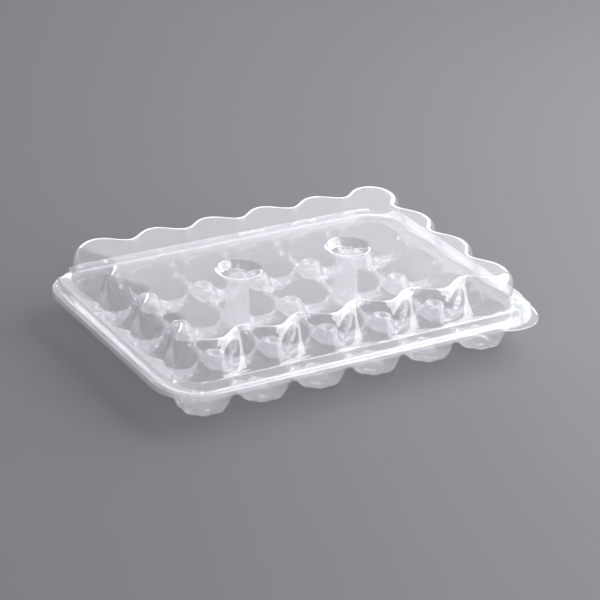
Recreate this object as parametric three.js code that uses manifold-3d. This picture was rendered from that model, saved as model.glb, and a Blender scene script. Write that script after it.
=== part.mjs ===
// Clear hinged carton for 24 hen's eggs, thermoformed from one sheet of PET.
//
// Frame: millimetres, +Z up, X along the long side, opening side towards -Y, hinge side towards +Y.
// The origin is the bottom centre of the closed carton's box.
//
// A real carton is one sheet. Here each region that does its own job is one closed solid, with a
// gap of GAP to its neighbours: 24 egg cups, 15 posts, the four sides of the tray rim, the hinge
// web, the snap stud, and the lid's rim, walls, top panel, post pads, tab and snap button.

import * as THREE from 'three';
import { mergeVertices } from 'three/addons/utils/BufferGeometryUtils.js';
import Module from 'manifold-3d';

const wasm = await Module();
wasm.setup();

// Driving dimensions
const COLUMNS = 6;
const ROWS = 4;
const PITCH_X = 48;
const PITCH_Y = 52;
const SHEET = 0.5;
const GAP = 0.3;

const CARTON_HEIGHT = 61;
const DECK_Z = 25;
const SADDLE_Z = 15;
const TRAY_FLANGE_Z = 27;
const LID_LIP_Z = 27.3;
const LEDGE_Z = 33.5;

const CUP_FLOOR_RADIUS = 14;
const CUP_HEEL_RADIUS = 19.5;
const CUP_HEEL_Z = 4;
const CUP_SEGMENTS = 12;
const SADDLE_RADIUS = 12;

const LEDGE_HALF_X = 155;
const LEDGE_HALF_Y = 106;
const LEDGE_CORNER_RADIUS = 29;
const LIP_WIDTH = 5;
const TRAY_RISER_INSET = 1;
const TRAY_LIP_DROP = 3.5;

const HINGE_HALF_LENGTH = 127;
const HINGE_Y = 110.6;
const HINGE_Z = 30;
const HINGE_BEAD_RADIUS = 2.7;

const TAB_REACH = 10;
const TAB_LENGTH = 46;
const SNAP_INSET = 8;
const BUTTON_SIDE = 8;
const BUTTON_TOP_Z = 36;

const POST_FOOT_Z = 15.8;
const SHORT_POST = { topRadius: 7, footRadius: 9, topZ: DECK_Z };
const TALL_POST = { topRadius: 8, footRadius: 9.6, topZ: 54.6 };
const COLLAR_HALF_X = 12;
const COLLAR_HALF_Y = 14;
const PAD_TOP_RADIUS = 18;
const PAD_FLOOR_RADIUS = 13;
const PAD_FLOOR_Z = 55;
const PAD_X = PITCH_X;

// Lid wall from its foot up to the flat top: how far the bulge over each outer cup stands out from
// the cup's centre, and how deep the valley between two bulges is.
const LID_LEVELS = [
  { z: 33, reach: 24.5, valley: 2.5 },
  { z: 44, reach: 24, valley: 7.6 },
  { z: 50, reach: 23.5, valley: 10.2 },
  { z: 54, reach: 22.75, valley: 11.2 },
  { z: 57.5, reach: 20.55, valley: 11.5 },
  { z: 59.8, reach: 17.5, valley: 11.5 },
  { z: CARTON_HEIGHT, reach: 12.5, valley: 11.5 },
];
const TOP_PANEL_Z = 57.5;
const POINTS_PER_BULGE = 6;
const POINTS_PER_CORNER = 4;

const CUP_CENTRE_X = ((COLUMNS - 1) / 2) * PITCH_X;
const CUP_CENTRE_Y = ((ROWS - 1) / 2) * PITCH_Y;
const FULL_TURN = Math.PI * 2;
const RIGHT_ANGLE = Math.PI / 2;

function clearPlastic() {
  return new THREE.MeshStandardMaterial({
    color: 0xe6e9ec,
    roughness: 0.08,
    metalness: 0,
    transparent: true,
    opacity: 0.35,
  });
}

// Booleans
function solidOf(geometry) {
  const bare = geometry.clone();
  bare.deleteAttribute('normal');
  bare.deleteAttribute('uv');
  const merged = mergeVertices(bare, 1e-4);
  return new wasm.Manifold(new wasm.Mesh({
    numProp: 3,
    vertProperties: new Float32Array(merged.attributes.position.array),
    triVerts: new Uint32Array(merged.index.array),
  }));
}

function geometryOf(solid) {
  const mesh = solid.getMesh();
  const geometry = new THREE.BufferGeometry();
  geometry.setAttribute('position', new THREE.BufferAttribute(mesh.vertProperties, 3));
  geometry.setIndex(new THREE.BufferAttribute(mesh.triVerts, 1));
  geometry.computeVertexNormals();
  return geometry;
}

// Basic shapes
function roundedRectangle(halfX, halfY, radius, OutlineClass = THREE.Shape) {
  const outline = new OutlineClass();
  outline.moveTo(-halfX + radius, -halfY);
  outline.absarc(halfX - radius, -halfY + radius, radius, -RIGHT_ANGLE, 0);
  outline.absarc(halfX - radius, halfY - radius, radius, 0, RIGHT_ANGLE);
  outline.absarc(-halfX + radius, halfY - radius, radius, RIGHT_ANGLE, 2 * RIGHT_ANGLE);
  outline.absarc(-halfX + radius, -halfY + radius, radius, 2 * RIGHT_ANGLE, 3 * RIGHT_ANGLE);
  return outline;
}

function rimOutline(offset, OutlineClass) {
  return roundedRectangle(
    LEDGE_HALF_X + offset,
    LEDGE_HALF_Y + offset,
    LEDGE_CORNER_RADIUS + offset,
    OutlineClass,
  );
}

function polygon(points) {
  return new THREE.Shape(points.map(([x, y]) => new THREE.Vector2(x, y)));
}

function plate(outline, lowZ, highZ) {
  const geometry = new THREE.ExtrudeGeometry(outline, {
    depth: highZ - lowZ,
    bevelEnabled: false,
    curveSegments: 6,
  });
  geometry.translate(0, 0, lowZ);
  return solidOf(geometry);
}

function box([lowX, highX], [lowY, highY], [lowZ, highZ]) {
  const geometry = new THREE.BoxGeometry(highX - lowX, highY - lowY, highZ - lowZ);
  geometry.translate((lowX + highX) / 2, (lowY + highY) / 2, (lowZ + highZ) / 2);
  return solidOf(geometry);
}

// A ring that follows the rim, between two offsets from the lid's ledge outline.
function rimRing(innerOffset, outerOffset, lowZ, highZ) {
  const outline = rimOutline(outerOffset);
  outline.holes.push(rimOutline(innerOffset, THREE.Path));
  return plate(outline, lowZ, highZ);
}

// Turns a profile of [radius, z] points about Z. A flat side of the result faces each axis.
function turned(profile, segments) {
  const points = profile.map(([radius, z]) => new THREE.Vector2(radius, z));
  const geometry = new THREE.LatheGeometry(points, segments, FULL_TURN / segments / 2);
  geometry.rotateX(RIGHT_ANGLE);
  return geometry;
}

function cylinder(radius, lowZ, highZ, segments) {
  return turned([[0, lowZ], [radius, lowZ], [radius, highZ], [0, highZ]], segments);
}

// Egg cups
function cupPlaces() {
  const places = [];
  for (let row = 0; row < ROWS; row += 1) {
    for (let column = 0; column < COLUMNS; column += 1) {
      const x = column * PITCH_X - CUP_CENTRE_X;
      const y = row * PITCH_Y - CUP_CENTRE_Y;
      places.push({ row, column, x, y });
    }
  }
  return places;
}

function cupShell() {
  const brim = PITCH_X / 2 - GAP / 2;
  const geometry = turned([
    [0, 0],
    [CUP_FLOOR_RADIUS, 0],
    [CUP_HEEL_RADIUS, CUP_HEEL_Z],
    [brim, DECK_Z],
    [brim - SHEET, DECK_Z],
    [CUP_HEEL_RADIUS - SHEET, CUP_HEEL_Z + SHEET / 2],
    [CUP_FLOOR_RADIUS - SHEET / 2, SHEET],
    [0, SHEET],
  ], CUP_SEGMENTS);
  geometry.scale(1, (PITCH_Y - GAP) / (PITCH_X - GAP), 1);
  return solidOf(geometry);
}

// The space that a cup needs at deck height, with its gap.
function cupClearance(x, y) {
  const geometry = cylinder(PITCH_X / 2 + GAP / 2, 1, DECK_Z + 1, CUP_SEGMENTS);
  geometry.scale(1, PITCH_Y / PITCH_X, 1);
  geometry.translate(x, y, 0);
  return solidOf(geometry);
}

// The dip through which a cup opens to its neighbour: a channel from the cup's centre outwards.
function saddleCut(heading) {
  const length = PITCH_Y;
  const geometry = new THREE.CylinderGeometry(SADDLE_RADIUS, SADDLE_RADIUS, length, 8);
  geometry.rotateZ(RIGHT_ANGLE);
  geometry.translate(length / 2, 0, SADDLE_Z + SADDLE_RADIUS);
  geometry.rotateZ(heading);
  return solidOf(geometry);
}

function eggCup(row, column) {
  let cup = cupShell();
  if (column < COLUMNS - 1) cup = cup.subtract(saddleCut(0));
  if (row < ROWS - 1) cup = cup.subtract(saddleCut(RIGHT_ANGLE));
  if (column > 0) cup = cup.subtract(saddleCut(2 * RIGHT_ANGLE));
  if (row > 0) cup = cup.subtract(saddleCut(3 * RIGHT_ANGLE));
  return geometryOf(cup);
}

// Posts: a hollow cone, open below, in a collar that fills the space between four cups
function post({ topRadius, footRadius, topZ }) {
  const cone = solidOf(turned([
    [0, POST_FOOT_Z], [footRadius, POST_FOOT_Z], [topRadius, topZ], [0, topZ],
  ], 8));
  const hollow = solidOf(turned([
    [0, POST_FOOT_Z - 1],
    [footRadius - SHEET, POST_FOOT_Z - 1],
    [topRadius - SHEET, topZ - SHEET],
    [0, topZ - SHEET],
  ], 8));
  let collar = box(
    [-COLLAR_HALF_X, COLLAR_HALF_X], [-COLLAR_HALF_Y, COLLAR_HALF_Y], [DECK_Z - SHEET, DECK_Z],
  );
  for (const x of [-PITCH_X / 2, PITCH_X / 2]) {
    for (const y of [-PITCH_Y / 2, PITCH_Y / 2]) {
      collar = collar.subtract(cupClearance(x, y));
    }
  }
  return geometryOf(collar.add(cone).subtract(hollow));
}

// Divides what runs around the carton into its four sides, with cuts through the corners.
function sideWedges() {
  const farX = LEDGE_HALF_X + 2 * PITCH_X;
  const farY = LEDGE_HALF_Y + 2 * PITCH_X;
  const near = farX - farY;
  const outlines = {
    front: [[GAP - farX, -farY], [farX - GAP, -farY], [near - GAP, 0], [GAP - near, 0]],
    right: [[farX, -farY], [farX, farY], [near, 0]],
    back: [[near - GAP, 0], [farX - GAP, farY], [GAP - farX, farY], [GAP - near, 0]],
    left: [[-farX, farY], [-farX, -farY], [-near, 0]],
  };
  return Object.entries(outlines).map(([side, points]) => ({
    side,
    wedge: plate(polygon(points), -1, CARTON_HEIGHT + 1),
  }));
}

// Tray rim: deck around the outer cups, riser, flange, and the lip turned down around it
function trayRim() {
  const deckOffset = -TRAY_RISER_INSET;
  const well = box(
    [-CUP_CENTRE_X - COLLAR_HALF_X, CUP_CENTRE_X + COLLAR_HALF_X],
    [-CUP_CENTRE_Y - COLLAR_HALF_Y, CUP_CENTRE_Y + COLLAR_HALF_Y],
    [0, CARTON_HEIGHT],
  );
  let rim = plate(rimOutline(deckOffset), DECK_Z - SHEET, DECK_Z)
    .subtract(well)
    .add(rimRing(deckOffset - SHEET, deckOffset, DECK_Z - SHEET, TRAY_FLANGE_Z))
    .add(rimRing(deckOffset - SHEET, LIP_WIDTH, TRAY_FLANGE_Z - SHEET, TRAY_FLANGE_Z))
    .add(rimRing(LIP_WIDTH - SHEET, LIP_WIDTH, TRAY_FLANGE_Z - TRAY_LIP_DROP, TRAY_FLANGE_Z));
  for (const { x, y } of cupPlaces()) {
    if (Math.abs(x) === CUP_CENTRE_X || Math.abs(y) === CUP_CENTRE_Y) {
      rim = rim.subtract(cupClearance(x, y));
    }
  }
  const hingeSide = box(
    [-HINGE_HALF_LENGTH, HINGE_HALF_LENGTH],
    [HINGE_Y - GAP, HINGE_Y + LIP_WIDTH],
    [0, CARTON_HEIGHT],
  );
  return rim.subtract(hingeSide);
}

// Hinge web: a half-round bead around the hinge line, open towards the carton
function hingeWeb() {
  const length = 2 * (HINGE_HALF_LENGTH - GAP);
  const section = new THREE.Shape();
  section.absarc(0, 0, HINGE_BEAD_RADIUS, -RIGHT_ANGLE, RIGHT_ANGLE);
  section.absarc(0, 0, HINGE_BEAD_RADIUS - SHEET, RIGHT_ANGLE, -RIGHT_ANGLE, true);
  const geometry = new THREE.ExtrudeGeometry(section, {
    depth: length,
    bevelEnabled: false,
    curveSegments: 6,
  });
  geometry.translate(0, 0, -length / 2);
  geometry.applyMatrix4(new THREE.Matrix4().makeBasis(
    new THREE.Vector3(0, 1, 0),
    new THREE.Vector3(0, 0, 1),
    new THREE.Vector3(1, 0, 0),
  ));
  geometry.translate(0, HINGE_Y, HINGE_Z);
  return geometry;
}

// Lid outline at one level: a wave along each side, and an arc about each corner cup
function lidOutline(reach, valley) {
  const points = [];
  const sides = [
    { x: -CUP_CENTRE_X, y: -CUP_CENTRE_Y, pitch: PITCH_X, bulges: COLUMNS - 1 },
    { x: CUP_CENTRE_X, y: -CUP_CENTRE_Y, pitch: PITCH_Y, bulges: ROWS - 1 },
    { x: CUP_CENTRE_X, y: CUP_CENTRE_Y, pitch: PITCH_X, bulges: COLUMNS - 1 },
    { x: -CUP_CENTRE_X, y: CUP_CENTRE_Y, pitch: PITCH_Y, bulges: ROWS - 1 },
  ];
  sides.forEach(({ x, y, pitch, bulges }, turn) => {
    const heading = turn * RIGHT_ANGLE;
    const along = new THREE.Vector2(Math.cos(heading), Math.sin(heading));
    const outward = new THREE.Vector2(Math.sin(heading), -Math.cos(heading));
    const start = new THREE.Vector2(x, y);
    for (let step = 0; step < bulges * POINTS_PER_BULGE; step += 1) {
      const phase = step / POINTS_PER_BULGE;
      const out = reach - valley * (1 - Math.cos(FULL_TURN * phase)) / 2;
      points.push(start.clone()
        .addScaledVector(along, phase * pitch)
        .addScaledVector(outward, out));
    }
    const corner = start.clone().addScaledVector(along, bulges * pitch);
    for (let step = 0; step < POINTS_PER_CORNER; step += 1) {
      const angle = (RIGHT_ANGLE * step) / POINTS_PER_CORNER;
      points.push(corner.clone()
        .addScaledVector(outward, reach * Math.cos(angle))
        .addScaledVector(along, reach * Math.sin(angle)));
    }
  });
  return points;
}

// A closed solid through the lid's outlines at several levels, lowest first
function lidLoft(levels) {
  const outlines = levels.map(({ reach, valley }) => lidOutline(reach, valley));
  const count = outlines[0].length;
  const positions = outlines.flatMap((outline, level) => (
    outline.flatMap(({ x, y }) => [x, y, levels[level].z])
  ));
  const faces = [];
  for (let level = 0; level < levels.length - 1; level += 1) {
    for (let i = 0; i < count; i += 1) {
      const a = level * count + i;
      const b = level * count + ((i + 1) % count);
      faces.push(a, b, b + count, a, b + count, a + count);
    }
  }
  for (const [a, b, c] of THREE.ShapeUtils.triangulateShape(outlines[0], [])) {
    faces.push(a, c, b);
  }
  const top = (levels.length - 1) * count;
  for (const [a, b, c] of THREE.ShapeUtils.triangulateShape(outlines.at(-1), [])) {
    faces.push(top + a, top + b, top + c);
  }
  const geometry = new THREE.BufferGeometry();
  geometry.setAttribute('position', new THREE.Float32BufferAttribute(positions, 3));
  geometry.setIndex(faces);
  return solidOf(geometry);
}

// Lid wall, shoulder and flat top as one shell, open below
function lidShell() {
  const inside = LID_LEVELS.map(({ z, reach, valley }) => ({
    z: z - SHEET,
    reach: reach - SHEET,
    valley,
  }));
  const below = { ...inside[0], z: inside[0].z - 1 };
  return lidLoft(LID_LEVELS).subtract(lidLoft([below, ...inside]));
}

function lidTopPanel(shell) {
  let panel = shell.trimByPlane([0, 0, 1], TOP_PANEL_Z);
  for (const x of [-PAD_X, PAD_X]) {
    const hole = cylinder(PAD_TOP_RADIUS + GAP, PAD_FLOOR_Z, CARTON_HEIGHT + 1, CUP_SEGMENTS);
    panel = panel.subtract(solidOf(hole).translate([x, 0, 0]));
  }
  return geometryOf(panel);
}

// The round pad pressed down into the lid to rest on a tall post
function postPad() {
  return turned([
    [0, PAD_FLOOR_Z],
    [PAD_FLOOR_RADIUS, PAD_FLOOR_Z],
    [PAD_TOP_RADIUS, CARTON_HEIGHT],
    [PAD_TOP_RADIUS - SHEET, CARTON_HEIGHT],
    [PAD_FLOOR_RADIUS - SHEET, PAD_FLOOR_Z + SHEET],
    [0, PAD_FLOOR_Z + SHEET],
  ], CUP_SEGMENTS);
}

// Lid rim: ledge around the wall's foot, then skirt and lip, or a flat strip along the hinge
function lidRim() {
  const foot = LID_LEVELS[0];
  const ledgeLow = LEDGE_Z - SHEET;
  const opening = lidLoft([
    { z: ledgeLow - 1, reach: foot.reach + GAP, valley: foot.valley },
    { z: LEDGE_Z + 1, reach: foot.reach + GAP, valley: foot.valley },
  ]);
  const hingeSide = box(
    [-HINGE_HALF_LENGTH, HINGE_HALF_LENGTH],
    [LEDGE_HALF_Y - 2 * SHEET, LEDGE_HALF_Y + 2 * LIP_WIDTH],
    [0, CARTON_HEIGHT],
  );
  const hingeStrip = box(
    [GAP - HINGE_HALF_LENGTH, HINGE_HALF_LENGTH - GAP],
    [LEDGE_HALF_Y - 2 * SHEET, HINGE_Y - GAP],
    [ledgeLow, LEDGE_Z],
  );
  const skirt = rimRing(-SHEET, 0, LID_LIP_Z, LEDGE_Z)
    .add(rimRing(-SHEET, LIP_WIDTH, LID_LIP_Z, LID_LIP_Z + SHEET))
    .subtract(hingeSide);
  return plate(rimOutline(0), ledgeLow, LEDGE_Z)
    .subtract(opening)
    .add(skirt)
    .add(hingeStrip);
}

// Finger tab outside the right front corner, level with the lid's lip
function openingTab() {
  const front = -(LEDGE_HALF_Y + LIP_WIDTH);
  const right = LEDGE_HALF_X + LIP_WIDTH;
  const radius = LEDGE_CORNER_RADIUS + LIP_WIDTH;
  const outline = new THREE.Shape();
  outline.moveTo(right - TAB_LENGTH, front);
  outline.quadraticCurveTo(
    right - TAB_LENGTH + TAB_REACH, front - TAB_REACH,
    right - TAB_LENGTH / 2, front - TAB_REACH,
  );
  outline.quadraticCurveTo(right, front - TAB_REACH, right, front + TAB_REACH);
  outline.lineTo(right, front + radius);
  outline.lineTo(right - radius, front + radius);
  const lip = plate(rimOutline(LIP_WIDTH + GAP), LID_LIP_Z - 1, LID_LIP_Z + 1);
  return plate(outline, LID_LIP_Z, LID_LIP_Z + SHEET).subtract(lip);
}

// Snap at the right front corner: a hollow button on the lid's lip over a stud on the tray flange
function snapBlock(side, lowZ, highZ) {
  const x = LEDGE_HALF_X - SNAP_INSET;
  const y = -(LEDGE_HALF_Y - SNAP_INSET);
  const half = side / 2;
  return box([x - half, x + half], [y - half, y + half], [lowZ, highZ]);
}

function hollowSnapBlock(side, lowZ, highZ) {
  return snapBlock(side, lowZ, highZ)
    .subtract(snapBlock(side - 2 * SHEET, lowZ - 1, highZ - SHEET));
}

// Assembly
const tray = new THREE.Group();
const lid = new THREE.Group();

function addPart(parent, name, geometry, x = 0, y = 0) {
  const mesh = new THREE.Mesh(geometry, clearPlastic());
  mesh.name = name;
  mesh.position.set(x, y, 0);
  parent.add(mesh);
}

for (const { row, column, x, y } of cupPlaces()) {
  addPart(tray, `egg_cup_r${row + 1}_c${column + 1}`, eggCup(row, column), x, y);
}

for (let row = 1; row < ROWS; row += 1) {
  for (let column = 1; column < COLUMNS; column += 1) {
    const x = (column - 0.5) * PITCH_X - CUP_CENTRE_X;
    const y = (row - 0.5) * PITCH_Y - CUP_CENTRE_Y;
    const isTall = y === 0 && Math.abs(x) === PAD_X;
    const kind = isTall ? 'tall_post' : 'short_post';
    addPart(tray, `${kind}_r${row}_c${column}`, post(isTall ? TALL_POST : SHORT_POST), x, y);
  }
}

const snapClearance = snapBlock(BUTTON_SIDE + 2 * GAP, LID_LIP_Z - 0.1, BUTTON_TOP_Z);
const trayRimRing = trayRim();
const lidRimRing = lidRim().subtract(snapClearance);
const lidBody = lidShell();
const lidWalls = lidBody.trimByPlane([0, 0, -1], GAP - TOP_PANEL_Z);
for (const { side, wedge } of sideWedges()) {
  addPart(tray, `tray_rim_${side}`, geometryOf(trayRimRing.intersect(wedge)));
  addPart(lid, `lid_rim_${side}`, geometryOf(lidRimRing.intersect(wedge)));
  addPart(lid, `lid_wall_${side}`, geometryOf(lidWalls.intersect(wedge)));
}

const studSide = BUTTON_SIDE - 2 * SHEET - 2 * GAP;
const studTop = BUTTON_TOP_Z - SHEET - GAP;
addPart(lid, 'lid_top_panel', lidTopPanel(lidBody));
addPart(lid, 'post_pad_left', postPad(), -PAD_X);
addPart(lid, 'post_pad_right', postPad(), PAD_X);
addPart(lid, 'opening_tab', geometryOf(openingTab().subtract(snapClearance)));
addPart(lid, 'snap_button', geometryOf(hollowSnapBlock(BUTTON_SIDE, LID_LIP_Z, BUTTON_TOP_Z)));
addPart(tray, 'snap_stud', geometryOf(hollowSnapBlock(studSide, TRAY_FLANGE_Z + GAP, studTop)));
addPart(tray, 'hinge_web', hingeWeb());

const frontReach = LEDGE_HALF_Y + LIP_WIDTH + TAB_REACH;
const backReach = HINGE_Y + HINGE_BEAD_RADIUS;
const carton = new THREE.Group();
carton.position.y = (frontReach - backReach) / 2;
carton.add(tray, lid);

export default carton;
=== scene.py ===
"""Looks of a clear hinged egg carton: one thin thermoformed sheet, built region by region."""
import math

import bmesh
import bpy
from mathutils import Matrix, Vector


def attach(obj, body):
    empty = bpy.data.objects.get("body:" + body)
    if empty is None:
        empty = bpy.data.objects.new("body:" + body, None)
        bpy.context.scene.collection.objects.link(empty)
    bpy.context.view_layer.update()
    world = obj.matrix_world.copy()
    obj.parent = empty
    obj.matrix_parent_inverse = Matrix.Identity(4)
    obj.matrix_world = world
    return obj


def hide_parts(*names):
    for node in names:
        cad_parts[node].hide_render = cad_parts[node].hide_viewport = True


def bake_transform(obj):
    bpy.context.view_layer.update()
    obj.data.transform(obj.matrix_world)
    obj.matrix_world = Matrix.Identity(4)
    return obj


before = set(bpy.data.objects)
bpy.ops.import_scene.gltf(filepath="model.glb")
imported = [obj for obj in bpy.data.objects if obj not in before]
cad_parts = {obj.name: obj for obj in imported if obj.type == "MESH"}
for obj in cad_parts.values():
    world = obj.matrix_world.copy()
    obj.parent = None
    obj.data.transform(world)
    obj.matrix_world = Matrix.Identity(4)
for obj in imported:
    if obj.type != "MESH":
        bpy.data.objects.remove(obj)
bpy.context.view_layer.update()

# ---------------------------------------------------------------- dimensions, millimetres
MM = 0.001
SHEET = 0.35
COLUMNS, ROWS = 6, 4
PITCH_X, PITCH_Y = 48.0, 52.0
HALF_X, HALF_Y = PITCH_X / 2, PITCH_Y / 2
# Centres of the outermost cups, and the edge of the cup grid.
CUP_X, CUP_Y = (COLUMNS - 1) / 2 * PITCH_X, (ROWS - 1) / 2 * PITCH_Y
EDGE_X, EDGE_Y = CUP_X + HALF_X, CUP_Y + HALF_Y
# The shapes are drawn about the middle of the cup grid, which lies this far behind the origin.
GRID_Y = 3.85

HEIGHT = 61.0
DECK_Z = 25.0
SADDLE_Z = 15.0
FLANGE_Z = 27.0
LIP_Z = 27.4
LEDGE_Z = 33.5

# The rim's riser: half its length and depth, and the radius of its corners in plan.
RIM_X, RIM_Y, RIM_RADIUS = 155.0, 106.0, 29.0
RUN_X, RUN_Y = RIM_X - RIM_RADIUS, RIM_Y - RIM_RADIUS
LIP_WIDTH = 5.0


# ---------------------------------------------------------------- camera
def add_camera():
    azimuth, elevation, roll = -0.565737, 0.451629, 0.055023
    place = Vector((-843.4, -1340.1 + GRID_Y, 793.3)) * MM
    back = Vector((math.sin(azimuth) * math.cos(elevation),
                   -math.cos(azimuth) * math.cos(elevation),
                   math.sin(elevation)))
    right = Vector((math.cos(azimuth), math.sin(azimuth), 0.0))
    up = back.cross(right)
    tilted_right = right * math.cos(roll) + up * math.sin(roll)
    tilted_up = up * math.cos(roll) - right * math.sin(roll)
    data = bpy.data.cameras.new("camera")
    data.lens = 138.68
    data.sensor_width = 36.0
    data.clip_end = 20.0
    camera = bpy.data.objects.new("camera", data)
    turn = Matrix((tilted_right, tilted_up, back)).transposed().to_4x4()
    camera.matrix_world = Matrix.Translation(place) @ turn
    bpy.context.collection.objects.link(camera)
    bpy.context.scene.camera = camera


add_camera()


# ---------------------------------------------------------------- small helpers
def metres(x, y, z):
    return x * MM, (y + GRID_Y) * MM, z * MM


def smooth(edge_a, edge_b, value):
    """Smooth step from 0 at edge_a to 1 at edge_b."""
    t = min(max((value - edge_a) / (edge_b - edge_a), 0.0), 1.0)
    return t * t * (3.0 - 2.0 * t)


def curve(points, value):
    """Smooth curve through (x, y) points that never overshoots between two of them."""
    if value <= points[0][0]:
        return points[0][1]
    if value >= points[-1][0]:
        return points[-1][1]
    slopes = [(b[1] - a[1]) / (b[0] - a[0]) for a, b in zip(points, points[1:])]
    tangents = [slopes[0]]
    for left, right in zip(slopes, slopes[1:]):
        tangents.append(2 * left * right / (left + right) if left * right > 0 else 0.0)
    tangents.append(slopes[-1])
    for k, ((x0, y0), (x1, y1)) in enumerate(zip(points, points[1:])):
        if value <= x1:
            width = x1 - x0
            t = (value - x0) / width
            return ((1 + 2 * t) * (1 - t) ** 2 * y0 + t * (1 - t) ** 2 * width * tangents[k]
                    + t * t * (3 - 2 * t) * y1 + t * t * (t - 1) * width * tangents[k + 1])
    return points[-1][1]


def circles(x, y, profile, count):
    """Level circles about (x, y), one for each (radius, z) of the profile."""
    turns = [math.tau * k / count for k in range(count)]
    return [[(x + radius * math.cos(turn), y + radius * math.sin(turn), z) for turn in turns]
            for radius, z in profile]


class Sheet:
    """A surface of welded faces, each in a named region, that becomes a sheet with thickness."""

    def __init__(self, body):
        self.body = body
        self.points = []
        self.index = {}
        self.faces = []

    def point(self, x, y, z):
        key = (round(x, 3), round(y, 3), round(z, 3))
        if key not in self.index:
            self.index[key] = len(self.points)
            self.points.append((x, y, z))
        return self.index[key]

    def face(self, corners, region):
        kept = list(dict.fromkeys(corners))
        if len(kept) > 2:
            self.faces.append((kept, region))

    def strip(self, inner, outer, region):
        """Quads between two closed rows of points.

        The region is a name or a function of the quad's centre; a quad with no name is left out.
        """
        for i in range(len(inner)):
            j = (i + 1) % len(inner)
            quad = [inner[i], inner[j], outer[j], outer[i]]
            name = region
            if callable(region):
                centre = [sum(p[k] for p in quad) / 4 for k in range(3)]
                name = region(*centre)
            if name:
                self.face([self.point(*p) for p in quad], name)

    def build(self, material, rim_material):
        """One closed shell per region, with normals that run on smoothly between regions.

        Regions share their borders, so a shell is only walled in at the whole sheet's free edges.
        """
        whole = bpy.data.meshes.new("whole")
        whole.from_pydata([metres(*p) for p in self.points],
                          [], [corners for corners, _ in self.faces])
        whole.validate()
        normals = [n.vector.copy() for n in whole.vertex_normals]
        places = [v.co.copy() for v in whole.vertices]
        edge_uses = {}
        for number, (corners, _) in enumerate(self.faces):
            for a, b in zip(corners, corners[1:] + corners[:1]):
                edge_uses.setdefault((min(a, b), max(a, b)), []).append((number, a, b))
        rims = {}
        for uses in edge_uses.values():
            if len(uses) == 1:
                number, a, b = uses[0]
                rims.setdefault(self.faces[number][1], []).append((a, b))
        regions = {}
        for corners, region in self.faces:
            regions.setdefault(region, []).append(corners)
        thickness = SHEET * MM
        for region, faces in regions.items():
            local = {}
            coords, shading, polygons = [], [], []

            def corner(index, side):
                key = (index, side)
                if key not in local:
                    local[key] = len(coords)
                    coords.append(places[index] - normals[index] * thickness * side)
                    shading.append(normals[index] * (1 - 2 * side))
                return local[key]

            for corners in faces:
                polygons.append([corner(i, 0) for i in corners])
                polygons.append([corner(i, 1) for i in reversed(corners)])
            for a, b in rims.get(region, []):
                polygons.append([corner(b, 0), corner(a, 0), corner(a, 1), corner(b, 1)])
            mesh = bpy.data.meshes.new(region + "_sheet")
            mesh.from_pydata(coords, [], polygons)
            mesh.polygons.foreach_set("use_smooth", [True] * len(mesh.polygons))
            mesh.normals_split_custom_set_from_vertices(shading)
            mesh.materials.append(rim_material if "_rim_" in region else material)
            piece = bpy.data.objects.new(region + "_sheet", mesh)
            bpy.context.collection.objects.link(piece)
            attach(piece, self.body)
            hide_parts(region)
        bpy.data.meshes.remove(whole)


def side_of(x, y):
    if abs(y) - RIM_Y > abs(x) - RIM_X:
        return "front" if y < 0 else "back"
    return "left" if x < 0 else "right"


# ---------------------------------------------------------------- materials
def add_node(tree, kind, inputs, **settings):
    """Add a shader node; each input takes a fixed value or a link from an output socket."""
    node = tree.nodes.new(kind)
    for setting, value in settings.items():
        setattr(node, setting, value)
    for name, value in inputs.items():
        if isinstance(value, bpy.types.NodeSocket):
            tree.links.new(value, node.inputs[name])
        else:
            node.inputs[name].default_value = value
    return node


DRAW_STRETCH = 0.22
STREAK_SCALE, WAVE_SCALE = 190.0, 38.0
STREAK_SHARE = 0.35
BUMP_STRENGTH, BUMP_HEIGHT = 0.25, 0.0006
SMOOTHEST, ROUGHEST = 0.03, 0.10
GLOSS_POWER, GLOSS_GRAZING = 3.8, 0.95
GLOSS_TINT = (0.98, 0.985, 1.0, 1.0)
CLEAR_TINT = (0.985, 0.987, 0.99, 1.0)
MILK_TINT = (0.93, 0.94, 0.96, 1.0)


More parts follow.
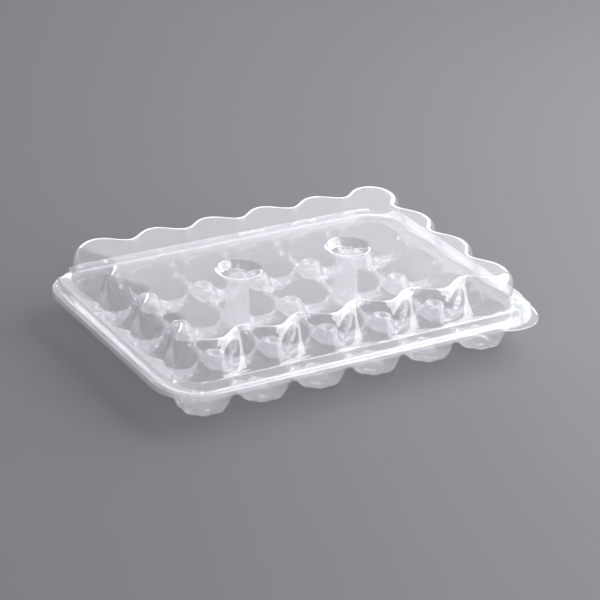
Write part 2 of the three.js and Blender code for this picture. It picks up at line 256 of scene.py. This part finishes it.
def clear_pet(name, haze, gloss_facing):
    """Clear drawn plastic: see-through, with streaks of haze, and glossier at grazing angles."""
    material = bpy.data.materials.new(name)
    material.use_nodes = True
    tree = material.node_tree
    tree.nodes.clear()

    place = add_node(tree, "ShaderNodeTexCoord", {}).outputs["Object"]
    stretched = add_node(tree, "ShaderNodeMapping", {
        "Vector": place, "Scale": (1.0, 1.0, DRAW_STRETCH)}).outputs["Vector"]
    streaks = add_node(tree, "ShaderNodeTexNoise", {
        "Vector": stretched, "Scale": STREAK_SCALE, "Detail": 2.0}).outputs["Fac"]
    waves = add_node(tree, "ShaderNodeTexNoise", {
        "Vector": place, "Scale": WAVE_SCALE, "Detail": 2.0}).outputs["Fac"]
    height = add_node(tree, "ShaderNodeMath", {
        0: streaks, 1: STREAK_SHARE, 2: waves}, operation="MULTIPLY_ADD").outputs[0]
    normal = add_node(tree, "ShaderNodeBump", {
        "Height": height, "Strength": BUMP_STRENGTH, "Distance": BUMP_HEIGHT}).outputs["Normal"]

    rough = add_node(tree, "ShaderNodeMapRange", {
        "Value": waves, "To Min": SMOOTHEST, "To Max": ROUGHEST}).outputs["Result"]
    gloss = add_node(tree, "ShaderNodeBsdfGlossy", {
        "Color": GLOSS_TINT, "Roughness": rough, "Normal": normal}).outputs[0]
    facing = add_node(tree, "ShaderNodeLayerWeight", {
        "Blend": 0.5, "Normal": normal}).outputs["Facing"]
    grazing = add_node(tree, "ShaderNodeMath", {
        0: facing, 1: GLOSS_POWER}, operation="POWER").outputs[0]
    gloss_share = add_node(tree, "ShaderNodeMapRange", {
        "Value": grazing, "To Min": gloss_facing, "To Max": GLOSS_GRAZING}).outputs["Result"]

    through = add_node(tree, "ShaderNodeBsdfTransparent", {"Color": CLEAR_TINT}).outputs[0]
    milk = add_node(tree, "ShaderNodeBsdfDiffuse", {"Color": MILK_TINT}).outputs[0]
    leak = add_node(tree, "ShaderNodeBsdfTranslucent", {"Color": MILK_TINT}).outputs[0]
    scatter = add_node(tree, "ShaderNodeMixShader", {0: 0.5, 1: milk, 2: leak}).outputs[0]
    cloud = add_node(tree, "ShaderNodeMapRange", {
        "Value": streaks, "To Min": haze * 0.6, "To Max": haze * 1.4}).outputs["Result"]
    body = add_node(tree, "ShaderNodeMixShader", {0: cloud, 1: through, 2: scatter}).outputs[0]
    surface = add_node(tree, "ShaderNodeMixShader", {0: gloss_share, 1: body, 2: gloss}).outputs[0]
    add_node(tree, "ShaderNodeOutputMaterial", {"Surface": surface})
    return material


# ---------------------------------------------------------------- tray
# (height, radius) up the wall of a cup, and the shares of the wall's height where it has points.
CUP_WALL = [(0.0, 14.5), (0.25, 16.4), (0.9, 17.6), (2.0, 18.7), (3.6, 19.6), (6.0, 20.4),
            (10.0, 21.3), (15.0, 22.1), (20.0, 22.8), (25.0, 23.4)]
WALL_STEPS = [0.0, 0.012, 0.035, 0.08, 0.14, 0.22, 0.34, 0.5, 0.68, 0.86, 1.0]
# Shares of the way from the top of the wall out to the border of the cup's cell.
RIDGE_STEPS = [0.05, 0.12, 0.2, 0.28, 0.35, 0.42, 0.49, 0.55, 0.62, 0.69, 0.77, 0.85, 0.93, 1.0]
# (radius, height) of the domed floor.
FLOOR_RINGS = [(0.0, 0.9), (5.5, 0.9), (7.5, 0.7), (9.0, 0.2), (10.5, 0.0)]
SIDE_STEPS = 32
RIB_DEPTH = 2.1
BRIM_ROUND, BRIM_SHARE = 1.0, 0.4
POST_TOP, POST_FOOT, DIMPLE = 6.6, 12.8, 2.4
SHORT_POST_REACH, TALL_POST_HOLE = 9.0, 9.5
TALL_POSTS = (2, 4)
# Radius of the grid's outer corners, about the same centres as the rim's corners.
GRID_CORNER = 27.0


def post_name(i, j):
    tall = j == 2 and i in TALL_POSTS
    return f"{'tall' if tall else 'short'}_post_r{j}_c{i}"


def post_place(i, j):
    return (i - 0.5) * PITCH_X - CUP_X, (j - 0.5) * PITCH_Y - CUP_Y


def share(step):
    """Share of a cell's side at a step; steps crowd at the side's ends and middle, at the ribs."""
    t = step / SIDE_STEPS
    return t - 0.55 * math.sin(4 * math.pi * t) / (4 * math.pi)


def rib(part):
    """Depth of the ribs between the petals of a cup, 1 on a rib and 0 in the middle of a petal."""
    nearest = min(part, abs(part - 0.5), 1.0 - part) * 4
    return 1.0 - math.sin(nearest * math.pi / 2) ** 0.8


def post_height(distance):
    """Height above the saddles of the mound of a post, with a dimple in its top."""
    mound = min(max((POST_FOOT - distance) / (POST_FOOT - POST_TOP), 0.0), 1.0)
    return (DECK_Z - SADDLE_Z) * mound - DIMPLE * (1.0 - smooth(1.6, 5.0, distance))


def round_corner(x, y):
    """Pull a point of the cup grid's four outer corners in to the rim's rounded corner."""
    dx, dy = abs(x) - RUN_X, abs(y) - RUN_Y
    length = math.hypot(dx, dy)
    if dx <= 0 or dy <= 0 or length <= GRID_CORNER:
        return x, y
    return (math.copysign(RUN_X + dx / length * GRID_CORNER, x),
            math.copysign(RUN_Y + dy / length * GRID_CORNER, y))


def cell_border():
    """(x, y, side, share of the side) for each point around a cell, from the cup's centre."""
    shares = [share(step) for step in range(SIDE_STEPS)]
    return ([(HALF_X, -HALF_Y + PITCH_Y * part, "right", part) for part in shares]
            + [(HALF_X - PITCH_X * part, HALF_Y, "back", part) for part in shares]
            + [(-HALF_X, HALF_Y - PITCH_Y * part, "left", part) for part in shares]
            + [(-HALF_X + PITCH_X * part, -HALF_Y, "front", part) for part in shares])


def border_height(x, y, side, shared):
    """Height of a cell's border: a saddle towards a neighbour, the deck at the outer sides."""
    if not shared[side]:
        return DECK_Z
    if side in ("left", "right"):
        end, away = ("back" if y > 0 else "front"), HALF_Y - abs(y)
    else:
        end, away = ("right" if x > 0 else "left"), HALF_X - abs(x)
    if shared[end]:
        return SADDLE_Z
    return DECK_Z - (DECK_Z - SADDLE_Z) * smooth(3.0, 13.0, away)


def add_cup(sheet, row, column):
    """One cell of the cup grid: floor, petalled wall and brim, with its share of the posts."""
    cx = column * PITCH_X - CUP_X
    cy = row * PITCH_Y - CUP_Y
    shared = {
        "right": column < COLUMNS - 1,
        "left": column > 0,
        "back": row < ROWS - 1,
        "front": row > 0,
    }
    spokes = []
    for bx, by, side, part in cell_border():
        wall_top = border_height(bx, by, side, shared) - BRIM_ROUND
        at_post = (shared["right"] if bx > 0 else shared["left"]) and \
                  (shared["back"] if by > 0 else shared["front"])
        wx, wy = round_corner(cx + bx, cy + by)
        bx, by = wx - cx, wy - cy
        angle = math.atan2(by, bx)
        reach = math.hypot(bx, by)
        levels = list(FLOOR_RINGS)
        for step in WALL_STEPS:
            z = wall_top * step
            depth = RIB_DEPTH * smooth(-0.6, 0.4, z) * (1.0 - 0.5 * smooth(6.0, 22.0, z))
            radius = curve(CUP_WALL, z) - depth * rib(part)
            levels.append((radius, z))
        spoke = [(cx + radius * math.cos(angle), cy + radius * math.sin(angle), z)
                 for radius, z in levels]
        for step in RIDGE_STEPS:
            out = radius + (reach - radius) * step
            x, y = out * math.cos(angle), out * math.sin(angle)
            if step == 1.0:
                x, y = bx, by
            z = wall_top + BRIM_ROUND - BRIM_ROUND * (1.0 - min(step / BRIM_SHARE, 1.0)) ** 2
            if at_post:
                z += post_height(math.hypot(HALF_X - abs(x), HALF_Y - abs(y)))
            spoke.append((cx + x, cy + y, z))
        spokes.append(spoke)
    rings = list(zip(*spokes))

    cup = f"egg_cup_r{row + 1}_c{column + 1}"

    def region(x, y, z):
        i = round((x + CUP_X) / PITCH_X + 0.5)
        j = round((y + CUP_Y) / PITCH_Y + 0.5)
        if 1 <= i < COLUMNS and 1 <= j < ROWS:
            post = post_name(i, j)
            distance = math.dist((x, y), post_place(i, j))
            if post.startswith("tall"):
                return None if distance < TALL_POST_HOLE else cup
            if distance < SHORT_POST_REACH:
                return post
        return cup

    for inner, outer in zip(rings, rings[1:]):
        sheet.strip(inner, outer, region)


def rim_point(edge_x, edge_y, offset):
    """Point of the rim's rounded outline that belongs to a point on the cup grid's border."""
    sx = math.copysign(1.0, edge_x)
    sy = math.copysign(1.0, edge_y)
    reach = RIM_RADIUS + offset
    if abs(abs(edge_y) - EDGE_Y) < 1e-6:
        if abs(edge_x) <= RUN_X:
            return edge_x, sy * (RIM_Y + offset)
        turn = (abs(edge_x) - RUN_X) / (EDGE_X - RUN_X) * math.pi / 4
        return sx * (RUN_X + reach * math.sin(turn)), sy * (RUN_Y + reach * math.cos(turn))
    if abs(edge_y) <= RUN_Y:
        return sx * (RIM_X + offset), edge_y
    turn = (abs(edge_y) - RUN_Y) / (EDGE_Y - RUN_Y) * math.pi / 4
    return sx * (RUN_X + reach * math.cos(turn)), sy * (RUN_Y + reach * math.sin(turn))


def grid_border():
    """Each point (x, y) along the cup grid's border, with its place once the corners are round."""
    shares = [share(step) for step in range(SIDE_STEPS)]
    across = [PITCH_X * (cell + part) for cell in range(COLUMNS) for part in shares]
    along = [PITCH_Y * (cell + part) for cell in range(ROWS) for part in shares]
    points = [(x - EDGE_X, -EDGE_Y) for x in across] + [(EDGE_X, y - EDGE_Y) for y in along]
    points += [(EDGE_X - x, EDGE_Y) for x in across] + [(-EDGE_X, EDGE_Y - y) for y in along]
    return [(x, y, *round_corner(x, y)) for x, y in points]


# (offset from the riser, height): the deck's edge, the riser, the flange and the turned-down lip.
TRAY_RIM = [(-1.6, DECK_Z), (-1.1, DECK_Z + 0.35), (-0.8, DECK_Z + 1.0), (-0.5, FLANGE_Z - 0.4),
            (0.2, FLANGE_Z), (2.6, FLANGE_Z), (4.1, FLANGE_Z), (4.7, FLANGE_Z - 0.2),
            (5.0, FLANGE_Z - 0.9), (5.0, FLANGE_Z - 2.3), (5.1, FLANGE_Z - 3.6)]
# (radius, height): the dished top, the tapered side and the flared foot.
TALL_POST = [(0.0, 53.2), (3.0, 53.2), (4.6, 53.5), (5.6, 54.2), (6.6, 54.5), (7.4, 54.2),
             (7.9, 53.3), (8.1, 48.0), (8.6, 38.0), (9.1, 29.0), (9.4, 22.0), (10.0, 19.0),
             (11.4, 16.6), (13.4, 15.1)]
POST_SIDES = 40


def add_tray_rim(sheet):
    def region(x, y, z):
        return "tray_rim_" + side_of(x, y)

    border = grid_border()
    previous = [(px, py, DECK_Z) for _, _, px, py in border]
    for offset, z in TRAY_RIM:
        current = [(*rim_point(x, y, offset), z) for x, y, _, _ in border]
        sheet.strip(previous, current, region)
        previous = current


def add_tall_post(sheet, i, j):
    rings = circles(*post_place(i, j), TALL_POST, POST_SIDES)
    for inner, outer in zip(rings, rings[1:]):
        sheet.strip(inner, outer, post_name(i, j))


# ---------------------------------------------------------------- lid
BULGE_STEPS = 14
# Steps of the turn round a corner. They crowd at the two notches of the rim.
CORNER_ANGLES = [0.0, 0.12, 0.24, 0.32, 0.34, 0.36, 0.38, 0.42, 0.456, 0.476, 0.496, 0.516,
                 0.6, 0.69, 0.785, 0.88, 0.97, 1.055, 1.075, 1.095, 1.115, 1.151, 1.191, 1.211,
                 1.231, 1.251, 1.33, 1.45]
# Turn from the long side to each notch, half the width of a notch's fold, and its depth.
FRONT_NOTCH, SIDE_NOTCH = 0.36, 1.075
FOLD_HALF, FOLD_DEPTH = 0.03, 1.3
# The ledge stands this far above its middle height along the sides, and as far below it at the
# corners, and changes over this share of the turn.
LEDGE_LIFT, LIFT_RAMP = 1.6, 0.02
# (height, reach of a bulge from the cup's centre) and (height, depth of a valley).
BULGE_WALL = [(33.5, 24.8), (35.0, 24.5), (40.0, 24.1), (45.0, 23.8), (50.0, 23.5)]
VALLEY_DEPTH = [(33.5, 2.6), (38.0, 4.8), (44.0, 7.8), (50.0, 10.3), (55.0, 11.4), (61.0, 11.5)]
VALLEY_SHARPNESS = 1.15
SHOULDER, SHOULDER_STEPS = 11.0, 14
SHOULDER_SPLIT_Z = 57.4
FLAT_REACH, FLAT_BORDER = 12.5, 1.5
# (offset from the riser, height): the lip, the skirt and the ledge.
LID_RIM = [(5.0, LIP_Z - 0.7), (4.9, LIP_Z - 0.2), (4.4, LIP_Z), (2.8, LIP_Z),
           (1.2, LIP_Z), (0.5, LIP_Z + 0.25), (0.2, LIP_Z + 0.9), (0.0, LEDGE_Z - 1.3),
           (-0.15, LEDGE_Z - 0.5), (-0.6, LEDGE_Z - 0.1), (-1.3, LEDGE_Z)]
SKIRT_Z = 30.0
# (height, extra reach) of the fillet between the ledge and the wall, then the wall's heights.
LEDGE_FILLET = [(LEDGE_Z - 0.1, 1.5), (LEDGE_Z + 0.2, 0.5), (LEDGE_Z + 1.0, 0.05)]
WALL_HEIGHTS = [36.5, 39.0, 41.5, 44.0, 46.5, 49.0]
# (radius, height) of a pad, from its floor out to the flat top.
PAD = [(0.0, 55.2), (4.0, 55.2), (9.0, 55.2), (11.6, 55.3), (12.6, 55.7), (13.3, 56.5),
       (15.6, 59.3), (16.6, 60.3), (17.5, 60.85), (18.4, 61.0), (19.8, 61.0)]
PAD_SIDES = 48


def lid_walk():
    """(base, outward, phase) for each step around the lid, from the left front cup.

    The base runs from cup centre to cup centre, and the phase from 0 at a cup to 1 at the next.
    """
    sides = [(-CUP_X, -CUP_Y, PITCH_X, COLUMNS - 1), (CUP_X, -CUP_Y, PITCH_Y, ROWS - 1),
             (CUP_X, CUP_Y, PITCH_X, COLUMNS - 1), (-CUP_X, CUP_Y, PITCH_Y, ROWS - 1)]
    for turn, (x, y, pitch, bulges) in enumerate(sides):
        heading = turn * math.pi / 2
        along = Vector((math.cos(heading), math.sin(heading)))
        outward = Vector((math.sin(heading), -math.cos(heading)))
        start = Vector((x, y))
        for step in range(bulges * BULGE_STEPS):
            phase = step / BULGE_STEPS
            yield start + along * phase * pitch, outward, phase % 1.0
        end = start + along * bulges * pitch
        for angle in CORNER_ANGLES:
            yield end, outward * math.cos(angle) + along * math.sin(angle), 0.0


def lid_ring(z, reach, depth):
    """Scalloped ring of the lid's wall: bulges at the cups and valleys between them."""
    ring = []
    for base, outward, phase in lid_walk():
        wave = ((1.0 - math.cos(math.tau * phase)) / 2.0) ** VALLEY_SHARPNESS
        place = base + outward * (reach - depth * wave)
        ring.append((place.x, place.y, z))
    return ring


def rim_ring(offset, z, lift):
    """Ring of the rounded rim, raised by lift between the notches of its corners.

    It has the same number of points as a lid ring, and a narrow fold outward at each notch.
    """
    ring = []
    for base, outward, _ in lid_walk():
        x = base.x / CUP_X * RUN_X
        y = base.y / CUP_Y * RUN_Y
        lean = math.atan2(abs(outward.x), abs(outward.y))
        near = min(abs(lean - FRONT_NOTCH), abs(lean - SIDE_NOTCH))
        reach = RIM_RADIUS + offset + FOLD_DEPTH * (1.0 - smooth(0.0, FOLD_HALF, near))
        raised = 1.0 - smooth(FRONT_NOTCH, FRONT_NOTCH + LIFT_RAMP, lean)
        raised += smooth(SIDE_NOTCH - LIFT_RAMP, SIDE_NOTCH, lean)
        ring.append((x + outward.x * reach, y + outward.y * reach, z + lift * raised))
    return ring


def lid_rim_region(x, y, z):
    return "lid_rim_" + side_of(x, y)


def lid_wall_region(x, y, z):
    return "lid_top_panel" if z > SHOULDER_SPLIT_Z else "lid_wall_" + side_of(x, y)


def add_lid(sheet):
    previous = None
    for offset, z in LID_RIM:
        lift = LEDGE_LIFT if z > SKIRT_Z else 0.0
        ring = rim_ring(offset, z - lift, 2 * lift)
        if previous:
            sheet.strip(previous, ring, lid_rim_region)
        previous = ring

    for z, extra in LEDGE_FILLET:
        ring = lid_ring(z, curve(BULGE_WALL, z) + extra, curve(VALLEY_DEPTH, z))
        sheet.strip(previous, ring, lid_rim_region if z < LEDGE_Z else lid_wall_region)
        previous = ring
    for z in WALL_HEIGHTS:
        ring = lid_ring(z, curve(BULGE_WALL, z), curve(VALLEY_DEPTH, z))
        sheet.strip(previous, ring, lid_wall_region)
        previous = ring
    for step in range(1, SHOULDER_STEPS + 1):
        angle = math.pi / 2 * step / SHOULDER_STEPS
        z = HEIGHT - SHOULDER + SHOULDER * math.sin(angle)
        reach = FLAT_REACH + SHOULDER * math.cos(angle)
        ring = lid_ring(z, reach, curve(VALLEY_DEPTH, z))
        sheet.strip(previous, ring, lid_wall_region)
        previous = ring
    inner = lid_ring(HEIGHT, FLAT_REACH - FLAT_BORDER, VALLEY_DEPTH[-1][1])
    sheet.strip(previous, inner, "lid_top_panel")
    fill_top(sheet, inner, [add_pad(sheet, -PITCH_X, "post_pad_left"),
                            add_pad(sheet, PITCH_X, "post_pad_right")])


def add_pad(sheet, x, name):
    """Round pad pressed down over a tall post; returns the circle where it meets the top."""
    rings = circles(x, 0.0, PAD, PAD_SIDES)
    for inner, outer in zip(rings, rings[1:]):
        sheet.strip(outer, inner, name)
    return rings[-1]


def fill_top(sheet, ring, holes):
    """Fill the flat top inside the ring, around the holes."""
    work = bmesh.new()
    for loop in [ring, *holes]:
        verts = [work.verts.new(p) for p in loop]
        for a, b in zip(verts, verts[1:] + verts[:1]):
            work.edges.new((a, b))
    bmesh.ops.triangle_fill(work, use_beauty=True, use_dissolve=False, edges=work.edges[:])
    for face in work.faces:
        face.normal_update()
        corners = [tuple(v.co) for v in face.verts]
        if face.normal.z < 0:
            corners.reverse()
        sheet.face([sheet.point(*p) for p in corners], "lid_top_panel")
    work.free()


# ---------------------------------------------------------------- tab, snap and hinge
# The tab's outer edge: three quadratic curves, each with its start, control point and end.
LIP_X, LIP_Y = RIM_X + LIP_WIDTH, RIM_Y + LIP_WIDTH
TAB_CURVES = [((110.0, -LIP_Y), (114.0, -121.0), (128.0, -121.5)),
              ((128.0, -121.5), (146.0, -121.5), (154.0, -107.0)),
              ((154.0, -107.0), (159.5, -97.0), (LIP_X, -82.0))]
TAB_STEPS = 12
# How far the tab's root lies inside the lip, and (share of the way out, height) across the tab.
TAB_ROOT = 0.6
TAB_ROWS = [(0.0, LIP_Z + 0.15), (0.5, LIP_Z), (0.93, LIP_Z), (1.0, LIP_Z - 0.35)]
# The snap's middle, and the length of a side, base, top and corner radius of its two blocks.
SNAP_X, SNAP_Y = RIM_X - 8.0, 8.0 - RIM_Y
BUTTON = (8.0, LIP_Z, 36.0, 2.0)
STUD = (6.2, FLANGE_Z + 0.1, 35.2, 1.4)
CORNER_STEPS = 5
# The hinge bead: half its length, the middle of its half-round, its radius, and the steps.
HINGE_HALF = 127.0
HINGE_Y, HINGE_Z, BEAD_RADIUS = 110.6, 30.0, 2.6
BEAD_FLATNESS = 0.9
BEAD_STEPS, HINGE_STEPS = 12, 60


def simple_piece(name, bm, material, body, node):
    """Thicken a surface to a closed sheet and add it; with no body it is left unattached."""
    bmesh.ops.recalc_face_normals(bm, faces=bm.faces[:])
    bmesh.ops.solidify(bm, geom=bm.faces[:], thickness=SHEET * MM)
    bmesh.ops.recalc_face_normals(bm, faces=bm.faces[:])
    mesh = bpy.data.meshes.new(name)
    bm.to_mesh(mesh)
    bm.free()
    mesh.polygons.foreach_set("use_smooth", [True] * len(mesh.polygons))
    mesh.materials.append(material)
    piece = bpy.data.objects.new(name, mesh)
    bpy.context.collection.objects.link(piece)
    if body:
        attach(piece, body)
    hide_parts(node)
    return piece


def tab_root(x, y):
    """Point just inside the lip that a point of the tab's outer edge is drawn out from."""
    if x < RUN_X:
        return x, -LIP_Y + TAB_ROOT
    if y > -RUN_Y:
        return LIP_X - TAB_ROOT, y
    dx, dy = x - RUN_X, y + RUN_Y
    length = math.hypot(dx, dy)
    reach = RIM_RADIUS + LIP_WIDTH - TAB_ROOT
    return RUN_X + dx / length * reach, -RUN_Y + dy / length * reach


def add_tab(material):
    outer = []
    for a, b, c in TAB_CURVES:
        for k in range(TAB_STEPS):
            t = k / TAB_STEPS
            outer.append(tuple((1 - t) ** 2 * a[i] + 2 * t * (1 - t) * b[i] + t * t * c[i]
                               for i in range(2)))
    outer.append(TAB_CURVES[-1][-1])
    bm = bmesh.new()
    rows = []
    for part, z in TAB_ROWS:
        row = []
        for x, y in outer:
            root_x, root_y = tab_root(x, y)
            row.append(bm.verts.new(metres(root_x + (x - root_x) * part,
                                           root_y + (y - root_y) * part, z)))
        rows.append(row)
    for inner, outer_row in zip(rows, rows[1:]):
        for k in range(len(inner) - 1):
            bm.faces.new((inner[k], inner[k + 1], outer_row[k + 1], outer_row[k]))
    simple_piece("opening_tab_sheet", bm, material, "lid", "opening_tab")


def add_block(name, material, body, node, side, low, high, corner):
    """Hollow block with a rounded plan and a rounded top, open below."""
    bm = bmesh.new()
    rows = []
    for inset, z in ((-0.7, low), (-0.15, low + 0.5), (0.0, low + 1.4), (0.3, high - 1.6),
                     (0.6, high - 0.6), (1.3, high - 0.1), (2.1, high)):
        row = []
        half = side / 2 - inset
        radius = min(corner, half)
        for quarter in range(4):
            sx = 1 if quarter in (0, 3) else -1
            sy = 1 if quarter in (0, 1) else -1
            for k in range(CORNER_STEPS + 1):
                angle = quarter * math.pi / 2 + math.pi / 2 * k / CORNER_STEPS
                x = SNAP_X + sx * (half - radius) + radius * math.cos(angle)
                y = SNAP_Y + sy * (half - radius) + radius * math.sin(angle)
                row.append(bm.verts.new(metres(x, y, z)))
        rows.append(row)
    for lower, upper in zip(rows, rows[1:]):
        for k in range(len(lower)):
            m = (k + 1) % len(lower)
            bm.faces.new((lower[k], lower[m], upper[m], upper[k]))
    bm.faces.new(rows[-1])
    simple_piece(name, bm, material, body, node)


def add_hinge(material):
    """Half-round bead that joins the two flanges."""
    bm = bmesh.new()
    profile = [(HINGE_Y - 1.2, HINGE_Z - 3.1), (HINGE_Y - 0.4, HINGE_Z - 3.0)]
    for k in range(BEAD_STEPS + 1):
        angle = -math.pi / 2 + math.pi * k / BEAD_STEPS
        profile.append((HINGE_Y + BEAD_RADIUS * math.cos(angle) * BEAD_FLATNESS,
                        HINGE_Z + BEAD_RADIUS * math.sin(angle)))
    profile += [(HINGE_Y - 0.4, HINGE_Z + 3.0), (HINGE_Y - 4.2, HINGE_Z + 3.4)]
    rows = []
    for k in range(HINGE_STEPS + 1):
        x = -HINGE_HALF + 2 * HINGE_HALF * k / HINGE_STEPS
        rows.append([bm.verts.new(metres(x, y, z)) for y, z in profile])
    for a, b in zip(rows, rows[1:]):
        for k in range(len(profile) - 1):
            bm.faces.new((a[k], b[k], b[k + 1], a[k + 1]))
    piece = simple_piece("hinge_web_sheet", bm, material, None, "hinge_web")
    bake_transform(piece)


# ---------------------------------------------------------------- build
tray_plastic = clear_pet("clear_pet_tray", haze=0.115, gloss_facing=0.025)
lid_plastic = clear_pet("clear_pet_lid", haze=0.085, gloss_facing=0.035)
rim_plastic = clear_pet("clear_pet_rim", haze=0.17, gloss_facing=0.035)
snap_plastic = clear_pet("clear_pet_snap", haze=0.22, gloss_facing=0.06)

tray = Sheet("tray")
for row in range(ROWS):
    for column in range(COLUMNS):
        add_cup(tray, row, column)
add_tray_rim(tray)
for i in TALL_POSTS:
    add_tall_post(tray, i, 2)
tray.build(tray_plastic, rim_plastic)

lid = Sheet("lid")
add_lid(lid)
lid.build(lid_plastic, rim_plastic)

add_tab(lid_plastic)
add_block("snap_button_sheet", snap_plastic, "lid", "snap_button", *BUTTON)
add_block("snap_stud_sheet", snap_plastic, "tray", "snap_stud", *STUD)
add_hinge(tray_plastic)


# ---------------------------------------------------------------- floor and light
def add_floor():
    bpy.ops.mesh.primitive_plane_add(size=12.0, location=(0.0, 2.0, -0.0002))
    floor = bpy.context.object
    floor.name = "floor"
    material = bpy.data.materials.new("pale_floor")
    material.use_nodes = True
    surface = material.node_tree.nodes["Principled BSDF"]
    surface.inputs["Base Color"].default_value = (0.121, 0.120, 0.128, 1.0)
    surface.inputs["Roughness"].default_value = 0.75
    surface.inputs["Specular IOR Level"].default_value = 0.25
    floor.data.materials.append(material)


def add_softbox(name, place, size, power, mirrored=True):
    """Rectangular lamp aimed at the origin, in metres and watts; mirrored: gloss shows it."""
    data = bpy.data.lights.new(name, "AREA")
    data.shape = "RECTANGLE"
    data.size, data.size_y = size
    data.energy = power
    lamp = bpy.data.objects.new(name, data)
    lamp.location = place
    lamp.visible_camera = False
    lamp.visible_glossy = mirrored
    lamp.rotation_euler = Vector(place).to_track_quat("Z", "Y").to_euler()
    bpy.context.collection.objects.link(lamp)


def add_light():
    """A pale room, brighter towards the back right, and five softboxes."""
    world = bpy.data.worlds.new("studio")
    bpy.context.scene.world = world
    world.use_nodes = True
    tree = world.node_tree
    place = add_node(tree, "ShaderNodeTexCoord", {}).outputs["Generated"]
    toward = add_node(tree, "ShaderNodeVectorMath", {
        0: place, 1: Vector((0.45, 0.60, 0.60)).normalized()}, operation="DOT_PRODUCT")
    glow = add_node(tree, "ShaderNodeMapRange", {
        "Value": toward.outputs["Value"], "From Min": 0.72, "From Max": 0.965,
        "To Min": 0.6, "To Max": 1.0}, interpolation_type="SMOOTHSTEP")
    background = tree.nodes["Background"]
    background.inputs["Color"].default_value = (0.97, 0.97, 1.0, 1.0)
    tree.links.new(glow.outputs["Result"], background.inputs["Strength"])
    add_softbox("key_right", (0.78, -0.16, 0.66), (1.2, 1.05), 19.0)
    add_softbox("fill_front", (-1.0, -1.75, 0.62), (3.0, 1.6), 38.0, mirrored=False)
    add_softbox("strip_front_right", (0.9, -1.12, 0.40), (0.55, 0.95), 8.5)
    add_softbox("line_above", (0.70, 0.48, 1.20), (1.2, 0.22), 3.2)
    add_softbox("rim_back", (0.9, 1.6, 0.35), (2.2, 0.5), 8.0)


add_floor()
add_light()

scene = bpy.context.scene
scene.view_settings.view_transform = "Standard"
scene.cycles.transparent_max_bounces = 48
scene.cycles.max_bounces = 16
scene.cycles.glossy_bounces = 6
